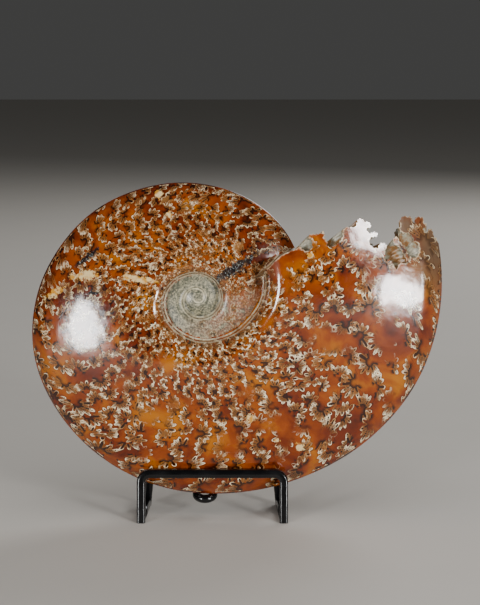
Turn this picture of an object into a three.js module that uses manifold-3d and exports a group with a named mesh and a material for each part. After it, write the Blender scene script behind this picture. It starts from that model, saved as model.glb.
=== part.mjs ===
// A polished ammonite (Cleoniceras) standing on edge in a small black display stand.
// Units are millimetres, +Z is up, and the viewer looks along +Y at one flank of the shell.
// The origin is on the table, under the middle of the whole object.
//
// The fossil is one stone: a coil of lens-shaped whorls, each lapping over the one before, with a
// sunken umbilicus on both sides. It is broken off along its last septum, so its end is a fluted
// wall whose crests stand up as a frilled fringe along both flanks.
// The stand is square bar, bent and welded: a front hoop, a rear hoop, two rails on the table
// between their feet, and a round-bar hook that carries the keel of the shell.
import * as THREE from "three";
import { mergeVertices } from "three/addons/utils/BufferGeometryUtils.js";
import Module from "manifold-3d";

const wasm = await Module();
wasm.setup();

// The coil, as [angle, size] pairs. The angle runs from the broken end back towards the middle of
// the coil: 0 points right, 90 down, 180 left, and 360 is one whole whorl earlier.
const KEEL_RADIUS = [
  [-40, 98.5], [-20, 96.7], [0, 95.0], [20, 92.0], [40, 86.9], [60, 81.6], [80, 78.0], [100, 75.8],
  [120, 73.4], [140, 70.9], [160, 68.0], [180, 63.0], [200, 57.3], [220, 52.5], [240, 48.2],
  [260, 45.4], [280, 43.7], [300, 43.1], [320, 42.8], [345, 41.8], [400, 37], [480, 30], [560, 23],
  [640, 17], [720, 13], [800, 9],
];
const SEAM_RADIUS = [
  [-40, 27.4], [-20, 26.4], [0, 24.2], [18, 21.3], [36, 19.2], [57, 17.2], [79, 15.9], [102, 14.6],
  [134, 13.6], [161, 12.8], [185, 11.8], [213, 10.5], [245, 9.2], [280, 8.7], [315, 8.6],
  [346, 8.4], [377, 8.1], [410, 7.6], [446, 7.1], [480, 6.3], [518, 5.4], [558, 4.3], [640, 3.0],
  [720, 2.0], [800, 1.4],
];
const HALF_BREADTH = [
  [-40, 19.8], [0, 19.0], [90, 15.5], [180, 12.6], [270, 10.0], [345, 8.6], [450, 7.0], [540, 5.6],
  [630, 4.6], [720, 3.9], [800, 3.4],
];
// The whorl's section, from its foot at the umbilical seam (0) to the keel (1), as shares of the
// half breadth: a steep umbilical wall, a rounded shoulder, a gently arched flank and a bevel.
const SECTION = [
  [0, 0.25], [0.02, 0.62], [0.045, 0.86], [0.08, 0.965], [0.13, 1.0], [0.22, 0.985], [0.35, 0.93],
  [0.5, 0.83], [0.65, 0.7], [0.78, 0.555], [0.87, 0.44], [0.915, 0.37], [0.95, 0.26], [0.98, 0.135],
  [1, 0.02],
];

// Where the coil is broken off: the edge of the last septum on the near flank, as [right, up]
// from the middle of the coil. It starts in the umbilicus, climbs across the older whorl, and
// then stands free as a fringe of lobes.
const EDGE_OVER_OLD_WHORL = [
  [17.5, 5.4], [21.5, 7.2], [23.2, 8.6], [24.5, 10.6], [27.5, 12.3], [29.6, 14.7], [32.3, 17.0],
  [33.8, 17.8], [37.0, 18.9],
];
const FRINGE_INNER = [
  [39.1, 20.1], [40.1, 19.1], [41.9, 18.4], [43.2, 19.1], [43.9, 20.1], [43.8, 21.5], [43.5, 23.0],
  [42.5, 23.6], [43.0, 24.7], [44.7, 24.9], [46.2, 25.0], [47.3, 25.4], [47.9, 26.0], [48.5, 25.1],
  [48.3, 23.6], [49.1, 22.5], [49.7, 21.5], [49.3, 20.5], [50.3, 20.2], [51.6, 20.2], [53.0, 20.7],
  [54.0, 21.7], [55.1, 23.2], [55.6, 24.4], [55.5, 25.8], [56.3, 27.2], [57.7, 27.6], [59.4, 27.5],
  [60.4, 27.7], [61.0, 29.1], [61.5, 30.5], [62.5, 30.8], [63.6, 30.1], [64.3, 29.4], [65.3, 29.6],
  [66.1, 28.7], [66.4, 28.0], [65.7, 27.3], [64.5, 27.1], [65.1, 25.8], [66.1, 25.1], [67.6, 25.6],
  [68.8, 25.2], [68.9, 24.2], [67.8, 23.9], [66.4, 23.6], [65.7, 22.3], [65.9, 21.1], [66.8, 20.0],
  [68.0, 19.5], [69.2, 19.7], [69.7, 21.0], [70.9, 21.5], [72.3, 21.0], [72.5, 19.9], [71.8, 18.8],
];
const FRINGE_NOTCH = [
  [71.9, 16.8], [71.6, 15.6], [72.3, 14.5], [73.3, 15.2], [74.4, 14.5], [75.6, 12.3], [76.6, 11.3],
  [77.2, 12.9], [78.3, 13.9], [79.5, 13.5], [80.5, 14.1], [79.7, 16.2], [78.5, 18.2], [77.2, 20.1],
  [75.8, 20.7], [75.3, 21.9], [75.1, 22.8], [75.8, 23.7], [76.8, 23.6], [77.5, 22.1], [78.5, 21.1],
  [79.9, 19.3], [81.1, 17.0], [82.8, 15.8], [84.6, 16.2], [85.3, 18.6], [84.8, 21.5], [83.4, 21.7],
  [82.8, 23.6], [81.1, 25.1],
];
const FRINGE_OUTER = [
  [78.9, 25.2], [77.8, 26.2], [77.4, 27.3], [78.0, 28.1], [77.5, 29.7], [78.5, 31.2], [79.5, 31.8],
  [80.7, 31.4], [81.9, 31.6], [82.7, 30.5], [82.8, 29.5], [83.6, 29.3], [83.8, 30.8], [84.8, 31.4],
  [86.3, 31.3], [87.3, 30.8], [87.3, 29.3], [88.3, 28.7], [88.3, 27.7], [87.3, 27.1], [87.5, 25.8],
  [88.7, 25.6], [89.1, 26.4], [90.2, 26.8], [91.1, 26.0], [91.2, 24.6], [91.8, 23.7], [92.6, 23.2],
  [93.2, 21.5], [97.5, 21.0], [101.0, 20.5],
];
// On the far flank the notch is shallower, so its edge shows through the near one.
const FAR_NOTCH = [
  [71.9, 18.6], [72.7, 18.4], [73.9, 19.1], [75.2, 20.1], [75.3, 21.3], [75.1, 22.8], [75.8, 23.7],
  [76.8, 23.6], [77.4, 22.3], [78.5, 21.7], [78.9, 22.6], [78.7, 24.2],
];
// How much lower the fringe stands on the far flank, from right to right, so that the gaps in
// the near one show clear.
const FAR_RIM_LOWERED = [[0, 0], [36, 0], [42, 4.5], [87, 4.5], [93, 0], [110, 0]];
// The floor of the septum, midway between the flanks, where its flutes have died out.
const SEPTUM_FLOOR = [
  [17.5, 5.4], [26, 8], [38, 12.5], [50, 13.5], [62, 12], [74, 8.5], [84, 10], [92, 16], [101, 20.5],
];
// How far the septum has dropped from its edge to its floor, from the flank (1) to the middle (0).
const SEPTUM_DROP = [[0, 1], [0.25, 0.95], [0.5, 0.74], [0.72, 0.36], [0.87, 0], [1.4, 0]];

// The coil in stretches, as [from, to, step] angles. Each laps a little over the next, and the
// inner ones, mostly buried in the outer, are stepped more coarsely.
const NEWEST_STRETCH = [-36, 168, 6];
const OLDER_STRETCHES = [[162, 348, 6], [342, 532, 10], [522, 798, 12]];
// The first chambers, too small to show a coil of their own, as a lens in the middle.
const CORE_RADIUS = 7.2;
const CORE_HALF_BREADTH = 3.7;

const LEAN_DEG = 5;
const KEEL_HEIGHT = 8.6;

// The stand. The hoops are square bar with rounded edges, and lean a little towards each other.
const BAR = 3.3;
const BAR_ROUNDING = 0.9;
const HOOP_HEIGHT = 20.5;
const HOOP_BEND = 3.4;
const FRONT_HOOP = { halfWidth: 27.6, inset: 0, footY: -11.4, topY: -8.6 };
const REAR_HOOP = { halfWidth: 26.6, inset: 2.2, footY: 15.6, topY: 11.1 };
const STAND_X = 5.7;
const JOIN_GAP = 0.3;
const HOOK_HALF_WIDTH = 3.25;
const HOOK_X = -3.1;
const HOOK_SIDES = 12;
// The hook's side view, as [back, up]: under the keel, then back and up to the rear bar.
const HOOK_BEND_ANGLE_DEG = 18;
const HOOK_BOTTOM = [0, 6.45];
const HOOK_ARM = [[5.6, 8.5], [8.8, 10.6], [10.7, 13.4], [11.5, 16.6]];

const radians = THREE.MathUtils.degToRad;

// Reads a table of [position, value] pairs as one smooth curve through them.
function smoothTable(table, at) {
  let i = 0;
  while (i < table.length - 2 && at > table[i + 1][0]) i++;
  const [x0, y0] = table[i];
  const [x1, y1] = table[i + 1];
  const before = table[Math.max(i - 1, 0)];
  const after = table[Math.min(i + 2, table.length - 1)];
  const slope0 = (y1 - before[1]) / (x1 - before[0]);
  const slope1 = (after[1] - y0) / (after[0] - x0);
  const s = THREE.MathUtils.clamp((at - x0) / (x1 - x0), 0, 1);
  const width = x1 - x0;
  return (
    y0 * (2 * s ** 3 - 3 * s ** 2 + 1) +
    y1 * (3 * s ** 2 - 2 * s ** 3) +
    slope0 * width * (s ** 3 - 2 * s ** 2 + s) +
    slope1 * width * (s ** 3 - s ** 2)
  );
}

// Reads a table of pairs along straight lines.
function lineTable(table, at) {
  const i = Math.max(1, table.findIndex(([x]) => x >= at));
  const [x0, y0] = table[i - 1];
  const [x1, y1] = table[i];
  return y0 + ((at - x0) / (x1 - x0)) * (y1 - y0);
}

// Half the thickness of the newest whorl at a point of the coil's plane.
function halfThickness(right, up) {
  const angle = THREE.MathUtils.radToDeg(Math.atan2(-up, right));
  const seam = smoothTable(SEAM_RADIUS, angle);
  const keel = smoothTable(KEEL_RADIUS, angle);
  const share = THREE.MathUtils.clamp((Math.hypot(right, up) - seam) / (keel - seam), 0.05, 0.9);
  return smoothTable(HALF_BREADTH, angle) * smoothTable(SECTION, share);
}

// A closed solid through a row of rings with the same number of points, its ends capped.
function loft(rings) {
  const count = rings[0].length;
  const positions = rings.flat().flatMap((p) => [p.x, p.y, p.z]);
  const faces = [];
  for (let ring = 0; ring < rings.length - 1; ring++) {
    for (let i = 0; i < count; i++) {
      const a = ring * count + i;
      const b = ring * count + ((i + 1) % count);
      faces.push(a, b, b + count, a, b + count, a + count);
    }
  }
  for (const [ring, turn] of [[0, true], [rings.length - 1, false]]) {
    const flat = flatten(rings[ring]);
    for (const [a, b, c] of THREE.ShapeUtils.triangulateShape(flat, [])) {
      const face = [a, b, c].map((i) => ring * count + i);
      faces.push(...(turn === THREE.ShapeUtils.isClockWise(flat) ? face : face.reverse()));
    }
  }
  const geometry = new THREE.BufferGeometry();
  geometry.setAttribute("position", new THREE.Float32BufferAttribute(positions, 3));
  geometry.setIndex(faces);
  return geometry;
}

// A ring seen along the axis that its own area faces most, as flat points for its cap.
function flatten(ring) {
  const normal = new THREE.Vector3();
  ring.forEach((p, i) => normal.add(new THREE.Vector3().crossVectors(p, ring[(i + 1) % ring.length])));
  const size = normal.toArray().map(Math.abs);
  const drop = size.indexOf(Math.max(...size));
  const [first, second] = [["y", "z"], ["z", "x"], ["x", "y"]][drop];
  const sign = Math.sign(normal.getComponent(drop));
  return ring.map((p) => new THREE.Vector2(sign * p[first], p[second]));
}

function toSolid(geometry) {
  const bare = new THREE.BufferGeometry();
  bare.setAttribute("position", geometry.getAttribute("position"));
  bare.setIndex(geometry.index);
  const merged = mergeVertices(bare, 1e-4);
  const mesh = new wasm.Mesh({
    numProp: 3,
    vertProperties: new Float32Array(merged.attributes.position.array),
    triVerts: new Uint32Array(merged.index.array),
  });
  const solid = new wasm.Manifold(mesh);
  if (solid.volume() > 0) return solid;
  mesh.triVerts = mesh.triVerts.map((_, i, all) => all[i - (i % 3) + 2 - (i % 3)]);
  return new wasm.Manifold(mesh);
}

function toGeometry(solid) {
  const made = solid.getMesh();
  const geometry = new THREE.BufferGeometry();
  geometry.setAttribute("position", new THREE.BufferAttribute(made.vertProperties, 3));
  geometry.setIndex(new THREE.BufferAttribute(made.triVerts, 1));
  const flat = geometry.toNonIndexed();
  flat.computeVertexNormals();
  return flat;
}

// One stretch of the coil as a solid, from one angle back to an earlier one.
function whorlStretch([from, to, stepDeg]) {
  const rings = [];
  const steps = Math.round((to - from) / stepDeg);
  for (let step = 0; step <= steps; step++) {
    const angle = from + ((to - from) * step) / steps;
    const seam = smoothTable(SEAM_RADIUS, angle);
    const height = smoothTable(KEEL_RADIUS, angle) - seam;
    const breadth = smoothTable(HALF_BREADTH, angle);
    const place = (share, side) => {
      const radius = seam + height * share[0];
      const x = radius * Math.cos(radians(angle));
      const z = -radius * Math.sin(radians(angle));
      return new THREE.Vector3(x, side * breadth * share[1], z);
    };
    const near = SECTION.map((share) => place(share, -1));
    const far = SECTION.map((share) => place(share, 1));
    rings.push([...near, ...far.reverse()]);
  }
  return toSolid(loft(rings));
}

// Spreads a short edge over a set number of points, evenly along its length.
function respace(points, count) {
  const curve = new THREE.CurvePath();
  for (let i = 1; i < points.length; i++) {
    const ends = [points[i - 1], points[i]].map(([x, y]) => new THREE.Vector2(x, y));
    curve.add(new THREE.LineCurve(...ends));
  }
  return Array.from({ length: count }, (_, i) => curve.getPointAt(i / (count - 1)).toArray());
}

// The tool that breaks the coil off: everything past the last septum, with the septum's fluted
// face as its underside. Each slice is the edge on one flank, eased towards the septum's floor.
function septumCutter() {
  const join = (notch) => [...EDGE_OVER_OLD_WHORL, ...FRINGE_INNER, ...notch, ...FRINGE_OUTER];
  const nearEdge = join(FRINGE_NOTCH);
  const farEdge = join(respace(FAR_NOTCH, FRINGE_NOTCH.length)).map(([x, z]) => [
    x,
    z - lineTable(FAR_RIM_LOWERED, x),
  ]);
  const floor = respace(SEPTUM_FLOOR, nearEdge.length);
  const outside = [[112, 60], [60, 78], [8, 44], [10, 9]];
  const depths = SEPTUM_DROP.map(([depth]) => depth);
  const slices = [...depths.slice(1).reverse().map((depth) => -depth), ...depths];
  const rings = slices.map((slice) => {
    const drop = lineTable(SEPTUM_DROP, Math.abs(slice));
    const edge = slice < 0 ? nearEdge : farEdge;
    const ring = edge.map(([x, z], i) => {
      const depth = slice * halfThickness(x, z);
      const [floorX, floorZ] = floor[i];
      return new THREE.Vector3(x + (floorX - x) * drop, depth, z + (floorZ - z) * drop);
    });
    const reach = slice * halfThickness(...EDGE_OVER_OLD_WHORL[2]);
    return [...ring, ...outside.map(([x, z]) => new THREE.Vector3(x, reach, z))];
  });
  return toSolid(loft(rings));
}

function makeAmmonite() {
  const newest = whorlStretch(NEWEST_STRETCH).subtract(septumCutter());
  const core = wasm.Manifold.sphere(1, 24).scale([CORE_RADIUS, CORE_HALF_BREADTH, CORE_RADIUS]);
  const older = OLDER_STRETCHES.map(whorlStretch);
  const solid = [core, ...older].reduce((whole, stretch) => whole.add(stretch), newest);
  const pieces = solid.decompose().sort((a, b) => b.volume() - a.volume());
  return toGeometry(pieces[0]);
}

// The bar's square section with its edges rounded, as [across, up] from its middle.
function squareSection() {
  const corner = BAR / 2 - BAR_ROUNDING;
  const corners = [[1, 1], [-1, 1], [-1, -1], [1, -1]];
  return corners.flatMap(([sideX, sideY], quarter) =>
    [0, 0.5, 1].map((share) => {
      const turn = (quarter + share) * (Math.PI / 2);
      const across = sideX * corner + BAR_ROUNDING * Math.cos(turn);
      return [across, sideY * corner + BAR_ROUNDING * Math.sin(turn)];
    }),
  );
}

// Where a hoop's plane is, front to back, at a height.
function leanOf({ footY, topY }, height) {
  return footY + (topY - footY) * (height / HOOP_HEIGHT);
}

// A hoop of square bar standing on two feet. Its legs draw in by inset and lean from footY to
// topY on the way up, and its feet are cut flat on the table.
function makeHoop({ halfWidth, inset, footY, topY }) {
  const section = squareSection();
  const top = HOOP_HEIGHT - BAR / 2;
  const path = [{ x: -halfWidth, z: 0, turn: 0 }];
  for (let step = 0; step <= 4; step++) {
    const turn = (Math.PI / 2) * (step / 4);
    const x = -halfWidth + HOOP_BEND * (1 - Math.cos(turn));
    path.push({ x, z: top - HOOP_BEND * (1 - Math.sin(turn)), turn });
  }
  const mirrored = path.map(({ x, z, turn }) => ({ x: -x, z, turn: Math.PI - turn })).reverse();
  const rings = [...path, ...mirrored].map(({ x, z, turn }) =>
    section.map(([across, depth]) => {
      const px = x - across * Math.cos(turn);
      const pz = z + across * Math.sin(turn);
      const narrowing = 1 - (inset / halfWidth) * (pz / HOOP_HEIGHT);
      return new THREE.Vector3(px * narrowing, leanOf({ footY, topY }, pz) + depth, pz);
    }),
  );
  return loft(rings);
}

// A straight bar on the table between a front foot and a rear foot.
function makeRail(side) {
  const start = leanOf(FRONT_HOOP, BAR) + BAR / 2 + JOIN_GAP;
  const end = leanOf(REAR_HOOP, BAR) - BAR / 2 - JOIN_GAP;
  const rings = [[start, FRONT_HOOP.halfWidth], [end, REAR_HOOP.halfWidth]].map(([y, x]) =>
    squareSection().map(
      ([across, up]) => new THREE.Vector3(side * x + across, y, BAR / 2 + up),
    ),
  );
  return loft(rings);
}

// A round bar bent into a U: its bend passes under the keel, and its arms climb to the rear bar.
function makeHook() {
  const slope = radians(HOOK_BEND_ANGLE_DEG);
  const half = [];
  for (let step = 0; step <= 4; step++) {
    const turn = (Math.PI / 2) * (step / 4);
    const run = HOOK_HALF_WIDTH * (1 - Math.cos(turn));
    const x = HOOK_HALF_WIDTH * Math.sin(turn);
    const [back, up] = HOOK_BOTTOM;
    half.push(new THREE.Vector3(x, back + run * Math.cos(slope), up + run * Math.sin(slope)));
  }
  half.push(...HOOK_ARM.map(([y, z]) => new THREE.Vector3(HOOK_HALF_WIDTH, y, z)));
  const other = half.slice(1).map((p) => new THREE.Vector3(-p.x, p.y, p.z));
  const path = [...other.reverse(), ...half];
  const rings = path.map((point, i) => {
    const ahead = path[Math.min(i + 1, path.length - 1)];
    const behind = path[Math.max(i - 1, 0)];
    const along = new THREE.Vector3().subVectors(ahead, behind).normalize();
    const across = new THREE.Vector3(0, -1, 0.6).cross(along).normalize();
    const third = new THREE.Vector3().crossVectors(along, across);
    return Array.from({ length: HOOK_SIDES }, (_, k) => {
      const turn = (2 * Math.PI * k) / HOOK_SIDES;
      return point
        .clone()
        .addScaledVector(across, (BAR / 2) * Math.cos(turn))
        .addScaledVector(third, (BAR / 2) * Math.sin(turn));
    });
  });
  return loft(rings);
}

const amber = new THREE.MeshStandardMaterial({ color: 0xa2560f, roughness: 0.16, metalness: 0 });
const blackPaint = new THREE.MeshStandardMaterial({ color: 0x101012, roughness: 0.3, metalness: 0 });

function named(name, geometry, material) {
  const mesh = new THREE.Mesh(toGeometry(toSolid(geometry)), material);
  mesh.name = name;
  return mesh;
}

// The fossil leans back a little, with its keel in the hook.
const fossil = new THREE.Mesh(makeAmmonite(), amber);
fossil.name = "ammonite";
fossil.rotation.x = -radians(LEAN_DEG);
const keelDrop = Math.max(...[84, 88, 92, 96].map((a) => smoothTable(KEEL_RADIUS, a) * Math.sin(radians(a))));
fossil.position.z = KEEL_HEIGHT + keelDrop * Math.cos(radians(LEAN_DEG));
fossil.position.y = keelDrop * Math.sin(radians(LEAN_DEG));

const stand = new THREE.Group();
stand.add(named("front_hoop", makeHoop(FRONT_HOOP), blackPaint));
stand.add(named("rear_hoop", makeHoop(REAR_HOOP), blackPaint));
stand.add(named("left_rail", makeRail(-1), blackPaint));
stand.add(named("right_rail", makeRail(1), blackPaint));
const hook = named("keel_hook", makeHook(), blackPaint);
hook.position.x = HOOK_X;
stand.add(hook);
stand.position.x = STAND_X;

const whole = new THREE.Group();
whole.add(fossil, stand);

// The whole is centred over the origin.
const bounds = new THREE.Box3().setFromObject(whole, true);
whole.position.x = -(bounds.min.x + bounds.max.x) / 2;
whole.position.y = -(bounds.min.y + bounds.max.y) / 2;

const root = new THREE.Group();
root.add(whole);
export default root;
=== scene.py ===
"""A polished ammonite fossil standing on edge in a small black display stand."""
import logging
import math
from dataclasses import dataclass
from enum import Enum
from typing import Any, Sequence, Union

import bpy
import numpy as np
from mathutils import Matrix, Vector
from mathutils.bvhtree import BVHTree
from mathutils.geometry import delaunay_2d_cdt


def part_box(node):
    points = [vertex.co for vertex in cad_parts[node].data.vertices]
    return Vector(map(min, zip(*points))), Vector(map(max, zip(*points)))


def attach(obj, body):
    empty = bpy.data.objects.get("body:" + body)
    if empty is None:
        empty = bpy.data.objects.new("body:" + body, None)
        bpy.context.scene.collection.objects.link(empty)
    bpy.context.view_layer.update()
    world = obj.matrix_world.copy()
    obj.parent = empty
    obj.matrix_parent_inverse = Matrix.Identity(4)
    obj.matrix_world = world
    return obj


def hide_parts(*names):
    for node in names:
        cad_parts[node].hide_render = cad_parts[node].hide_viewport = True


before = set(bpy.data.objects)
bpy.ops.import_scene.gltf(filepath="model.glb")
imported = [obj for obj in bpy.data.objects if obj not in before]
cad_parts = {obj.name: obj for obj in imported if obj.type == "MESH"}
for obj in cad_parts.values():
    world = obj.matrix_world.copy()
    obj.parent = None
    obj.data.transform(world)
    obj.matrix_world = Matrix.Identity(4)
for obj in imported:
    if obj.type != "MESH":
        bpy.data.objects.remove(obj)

log = logging.getLogger("ammonite")

MM = 0.001
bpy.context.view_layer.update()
PHOTO_WIDTH = 480
STEPS_BETWEEN_CORNERS = 12
ON_LINE_MM = 0.02
FINGER_MM = 0.24
# What each vertex of the fossil tells its finish, distances in millimetres.
FLANK_VALUES = ("suture_mm", "lobe_side", "tip", "seam_mm", "edge_mm", "age", "patch", "smoke",
                "crack")
# Settings that many nodes share.
SOFT = {"interpolation_type": "SMOOTHSTEP"}
RGBA = {"data_type": "RGBA"}
TIMES = {"operation": "MULTIPLY"}

Points = np.ndarray
Table = tuple[tuple[float, float], ...]
Tube = tuple[np.ndarray, list[tuple[int, ...]]]


def smooth_table(pairs: Table, at: np.ndarray) -> np.ndarray:
    """Reads a table as one smooth curve through its pairs.

    Args:
        pairs: (position, value) rows in rising order of position.
        at: positions to read.

    Returns:
        The curve's value at each position.
    """
    x, y = np.array(pairs, dtype=float).T
    rise = np.diff(y) / np.diff(x)
    slope = np.concatenate([rise[:1], (y[2:] - y[:-2]) / (x[2:] - x[:-2]), rise[-1:]])
    i = np.clip(np.searchsorted(x, at, side="right") - 1, 0, len(x) - 2)
    width = x[i + 1] - x[i]
    s = np.clip((at - x[i]) / width, 0.0, 1.0)
    return (y[i] * (2 * s**3 - 3 * s**2 + 1) + y[i + 1] * (3 * s**2 - 2 * s**3)
            + slope[i] * width * (s**3 - 2 * s**2 + s) + slope[i + 1] * width * (s**3 - s**2))


def run_along(line: Points) -> np.ndarray:
    """Returns how far along a line each of its points is."""
    return np.concatenate([[0], np.cumsum(np.hypot(*np.diff(line, axis=0).T))])


def unit(vectors: np.ndarray) -> np.ndarray:
    """Returns vectors brought to a length of 1."""
    return vectors / np.maximum(np.linalg.norm(vectors, axis=1), 1e-9)[:, None]


def face_normals(places: np.ndarray, faces: np.ndarray) -> np.ndarray:
    """Returns the cross product of two sides of each triangle."""
    corner = places[faces]
    return np.cross(corner[:, 1] - corner[:, 0], corner[:, 2] - corner[:, 0])


def rounded_line(points: Sequence[tuple[float, float]], count: int) -> Points:
    """Draws a smooth line through points and spaces it evenly.

    Args:
        points: corners of the line, in order.
        count: how many points to return, both ends included.

    Returns:
        An array of count rows of (right, up).
    """
    corners = np.array(points, dtype=float)
    padded = np.vstack([2 * corners[0] - corners[1], corners, 2 * corners[-1] - corners[-2]])
    s = np.linspace(0, 1, STEPS_BETWEEN_CORNERS, endpoint=False)[:, None]
    fine = [0.5 * (2 * p1 + (p2 - p0) * s + (2 * p0 - 5 * p1 + 4 * p2 - p3) * s**2
                   + (3 * p1 - p0 - 3 * p2 + p3) * s**3)
            for p0, p1, p2, p3 in zip(padded, padded[1:], padded[2:], padded[3:])]
    line = np.vstack(fine + [corners[-1:]])
    run = run_along(line)
    at = np.linspace(0, run[-1], count)
    return np.column_stack([np.interp(at, run, line[:, 0]), np.interp(at, run, line[:, 1])])


def inside_polygon(points: Points, polygon: Points) -> np.ndarray:
    """Tells which points lie inside a closed polygon.

    Args:
        points: rows of (right, up).
        polygon: corners in order, not repeated at the end.

    Returns:
        One boolean a point.
    """
    inside = np.zeros(len(points), dtype=bool)
    x, y = points[:, 0], points[:, 1]
    for (x0, y0), (x1, y1) in zip(polygon, np.roll(polygon, -1, axis=0)):
        if y0 == y1:
            continue
        crosses = (y0 > y) != (y1 > y)
        inside ^= crosses & (x < (x1 - x0) * (y - y0) / (y1 - y0) + x0)
    return inside


class Flank(Enum):
    """One of the fossil's two flanks, with its direction along the depth axis."""

    NEAR = -1
    FAR = 1


@dataclass(frozen=True)
class Coil:
    """The form of the shell's coil, in millimetres and degrees.

    Angles run from the broken end back towards the middle: 0 is right, 90 down, 180 left, and
    360 is one whorl earlier. Points are (right, up) from the middle of the coil.
    """

    keel_radius: Table = (
        (-40, 98.5), (-20, 96.7), (0, 95.0), (20, 92.0), (40, 86.9), (60, 81.6), (80, 78.0),
        (100, 75.8), (120, 73.4), (140, 70.9), (160, 68.0), (180, 63.0), (200, 57.3),
        (220, 52.5), (240, 48.2), (260, 45.4), (280, 43.7), (300, 43.1), (320, 42.8),
        (345, 41.8), (400, 37), (480, 30), (560, 23), (640, 17), (720, 13), (800, 9))
    seam_radius: Table = (
        (-40, 27.4), (-20, 26.4), (0, 24.2), (18, 21.3), (36, 19.2), (57, 17.2), (79, 15.9),
        (102, 14.6), (134, 13.6), (161, 12.8), (185, 11.8), (213, 10.5), (245, 9.2),
        (280, 8.7), (315, 8.6), (346, 8.4), (377, 8.1), (410, 7.6), (446, 7.1), (480, 6.3),
        (518, 5.4), (558, 4.3), (640, 3.0), (720, 2.0), (800, 1.4))
    half_breadth: Table = (
        (-40, 19.8), (0, 19.0), (90, 15.5), (180, 12.6), (270, 10.0), (345, 8.6), (450, 7.0),
        (540, 5.6), (630, 4.6), (720, 3.9), (800, 3.4))
    section: Table = (
        (0, 0.25), (0.02, 0.62), (0.045, 0.86), (0.08, 0.965), (0.13, 1.0), (0.22, 0.985),
        (0.35, 0.93), (0.5, 0.83), (0.65, 0.7), (0.78, 0.555), (0.87, 0.44), (0.915, 0.37),
        (0.95, 0.26), (0.978, 0.145), (0.991, 0.085), (0.997, 0.045), (1, 0))
    core_radius: float = 7.2
    core_half_breadth: float = 3.7
    seam_fillet: float = 0.3
    drawn_between: tuple[float, float] = (-45, 799)

    def radii(self, angle: np.ndarray) -> tuple[np.ndarray, np.ndarray]:
        """Returns the radii of the seam and the keel at each angle."""
        return smooth_table(self.seam_radius, angle), smooth_table(self.keel_radius, angle)

    def angle(self, points: Points) -> np.ndarray:
        """Returns each point's angle about the middle of the coil, from 0 to 360."""
        return np.degrees(np.arctan2(-points[:, 1], points[:, 0])) % 360

    def place(self, angle: np.ndarray, share: np.ndarray) -> Points:
        """Finds points by their angle and their share of the way from seam to keel.

        Args:
            angle: degrees back along the coil.
            share: 0 at the seam to 1 at the keel.

        Returns:
            Rows of (right, up).
        """
        seam, keel = self.radii(angle)
        radius = seam + share * (keel - seam)
        turn = np.radians(angle)
        return np.column_stack([radius * np.cos(turn), -radius * np.sin(turn)])

    def whorl_height(self, points: Points, turn: int) -> np.ndarray:
        """Gives one whorl's half thickness.

        Args:
            points: rows of (right, up).
            turn: which whorl: 0 is the first full one, 1 the one before it, -1 the stretch
                after it.

        Returns:
            Half the whorl's thickness, or minus infinity where the whorl isn't.
        """
        angle = self.angle(points) + 360 * turn
        seam, keel = self.radii(angle)
        share = (np.hypot(*points.T) - seam) / (keel - seam)
        first, last = self.drawn_between
        there = (share >= 0) & (share <= 1.0001) & (angle > first) & (angle < last)
        height = smooth_table(self.half_breadth, angle) * smooth_table(self.section, share)
        return np.where(there, height, -np.inf)

    def height(self, points: Points, above_break: np.ndarray) -> np.ndarray:
        """Gives the fossil's half thickness, the whorls blended where they meet.

        Args:
            points: rows of (right, up).
            above_break: whether each point lies past the broken edge, on the older whorl.

        Returns:
            Half the fossil's thickness at each point, 0 outside it.
        """
        layers = [self.whorl_height(points, turn) for turn in (-1, 0, 1, 2)]
        layers[0] = np.where(above_break, -np.inf, layers[0])
        share = np.hypot(*points.T) / self.core_radius
        dome = self.core_half_breadth * np.sqrt(np.clip(1 - share**2, 0, 1))
        layers.append(np.where(share < 1, dome, -np.inf))
        stack = np.array(layers)
        top = np.maximum(stack.max(axis=0), 0.0)
        blend = np.exp((stack - top) / self.seam_fillet).sum(axis=0)
        return np.maximum(top + self.seam_fillet * np.log(np.maximum(blend, 1.0)), 0.0) * (top > 0)


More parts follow.
